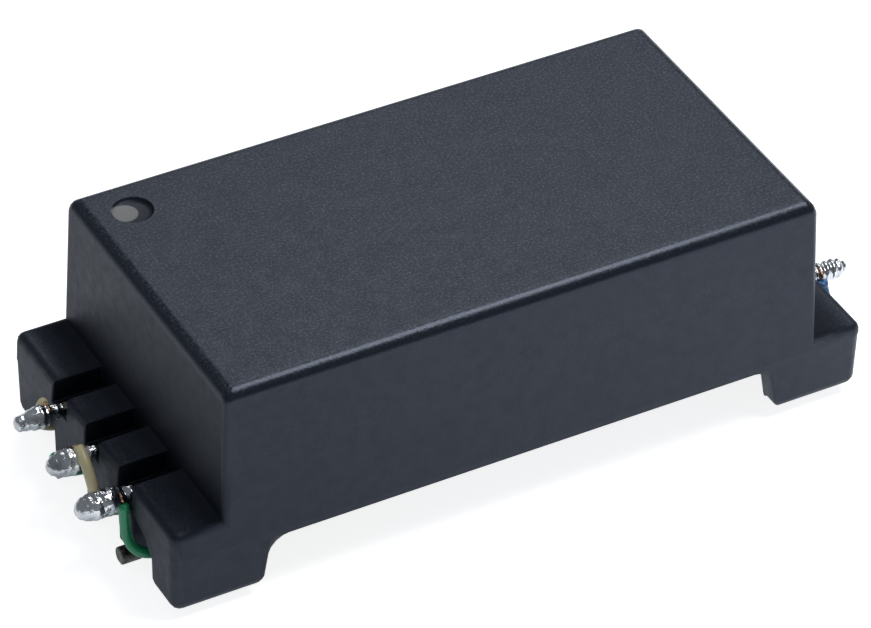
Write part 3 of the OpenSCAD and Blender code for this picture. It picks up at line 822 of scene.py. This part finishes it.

# %% [markdown]
# ## Solder
# Each stub was dipped in solder after its wire was wound on. The solder closes over the tip,
# hangs under the wraps as a drop, narrows to a neck and ends in a ring where the stub leaves
# its slot. No two joints are alike. So each has its own outline, a few widths along the stub
# that are chosen, and the skin between them is a smooth sheet of rings. A wave round
# the skin shows the wraps under it, and a little noise makes it uneven.

# %% Outlines of the joints
# Per joint: how far it reaches past the imported tip, how deep the wraps show, how far the drop
# sags, how uneven it is, and its widths as (distance from the tip, radius)
SOLDER = {
    1: (0.00, 0.008, 0.05, 0.10, [(0, 0.18), (0.08, 0.27), (0.40, 0.31), (0.62, 0.38),
                                  (0.90, 0.42), (1.12, 0.38), (1.32, 0.31), (1.75, 0.26)]),
    2: (0.00, 0.008, 0.10, 0.12, [(0, 0.14), (0.10, 0.28), (0.30, 0.40), (0.62, 0.48),
                                  (0.95, 0.49), (1.15, 0.42), (1.40, 0.30), (1.72, 0.31),
                                  (1.95, 0.25)]),
    3: (0.14, 0.006, 0.05, 0.10, [(0, 0.15), (0.10, 0.30), (0.32, 0.42), (0.70, 0.49),
                                  (1.35, 0.48), (1.58, 0.41), (1.76, 0.31), (1.95, 0.36),
                                  (2.10, 0.34), (2.20, 0.26)]),
    4: (0.00, 0.028, 0.00, 0.07, [(0, 0.05), (0.14, 0.20), (0.34, 0.30), (0.60, 0.36),
                                  (1.10, 0.37), (1.40, 0.33), (1.60, 0.27), (1.85, 0.25)]),
    5: (0.00, 0.020, 0.06, 0.10, [(0, 0.14), (0.12, 0.30), (0.40, 0.42), (0.90, 0.44),
                                  (1.20, 0.36), (1.50, 0.29), (1.85, 0.25)]),
    6: (0.05, 0.030, 0.04, 0.10, [(0, 0.12), (0.10, 0.26), (0.36, 0.38), (0.85, 0.42),
                                  (1.20, 0.36), (1.55, 0.28), (1.90, 0.25)])}
WRAP = 0.27


def between(stations, t):
    """The smooth width at a distance from the tip."""
    for (t0, r0), (t1, r1) in zip(stations, stations[1:]):
        if t <= t1:
            q = (t - t0) / (t1 - t0)
            return r0 + (r1 - r0) * q * q * (3 - 2 * q)
    return stations[-1][1]


# %% One solder joint
def solder_mesh(i):
    """The skin of joint i, from its tip back to its ring."""
    reach, wraps, sag, uneven, stations = SOLDER[i]
    low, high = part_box(f"solder_{i}")
    side = -1 if low.x < 0 else 1
    end = (low.x if side < 0 else high.x) / MM + side * reach
    centre = middle(f"solder_{i}")
    long = stations[-1][0]
    rings, steps = 64, 40
    points, faces = [(end + side * 0.03, centre.y, centre.z - sag)], []
    for r in range(rings + 1):
        t = long * r / rings
        hang = sag * (1 - (t / long) ** 2)
        body = min(1, t / 0.3) * min(1, (long - t) / 0.3)
        for k in range(steps):
            a = math.tau * k / steps
            wide = between(stations, t)
            wide += wraps * body * math.cos(math.tau * t / WRAP - side * a)
            unit = Vector((t * 2.6, math.cos(a) * 1.1, math.sin(a) * 1.1 + i * 7.3))
            wide *= 1 + uneven * noise.noise(unit) * body
            wide *= 1 + uneven * 0.4 * noise.noise(unit * 3) * body
            points.append((end - side * t, centre.y + wide * math.cos(a),
                           centre.z + wide * math.sin(a) - hang))
    for k in range(steps):
        faces.append((0, 1 + (k + 1) % steps, 1 + k))
    for r in range(rings):
        for k in range(steps):
            a, b = 1 + r * steps + k, 1 + r * steps + (k + 1) % steps
            faces.append((a, b, b + steps, a + steps))
    faces.append(tuple(1 + rings * steps + k for k in range(steps)))
    if side > 0:
        faces = [tuple(reversed(f)) for f in faces]
    return mesh_from(f"solder_{i}", points, faces)


for i in SOLDER:
    new_piece(f"solder_joint_{i}", solder_mesh(i), solder_finish, "solder", f"solder_{i}")

# %% [markdown]
# ## Cores and adhesive
# The cores' imported solids are smooth rings, so they keep their meshes and only take the green
# coat. An adhesive bead is squeezed between a core and the roof, so it is narrower at its
# middle and wider where it touches.

# %% Dress the cores and squeeze the beads
for node in ("transformer_core", "choke_core"):
    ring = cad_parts[node]
    ring.data.materials.clear()
    ring.data.materials.append(ferrite_finish)

for node in ("transformer_adhesive", "choke_adhesive"):
    low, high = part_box(node)
    bm = bmesh.new()
    for x in (low.x / MM + 0.55, high.x / MM - 0.55):
        rise = (high.z - low.z) / MM
        profile = [(0.5 + 0.05 * math.cos(math.tau * q / 12), low.z / MM + rise * q / 12)
                   for q in range(13)]
        bead = turned(node, profile)
        bead.transform(Matrix.Translation((x, 0, 0)))
        bm.from_mesh(bead)
    mesh = bpy.data.meshes.new(node + "_bead")
    bm.to_mesh(mesh)
    bm.free()
    new_piece(node + "_beads", finish_mesh(mesh), adhesive_finish, "adhesive", node)
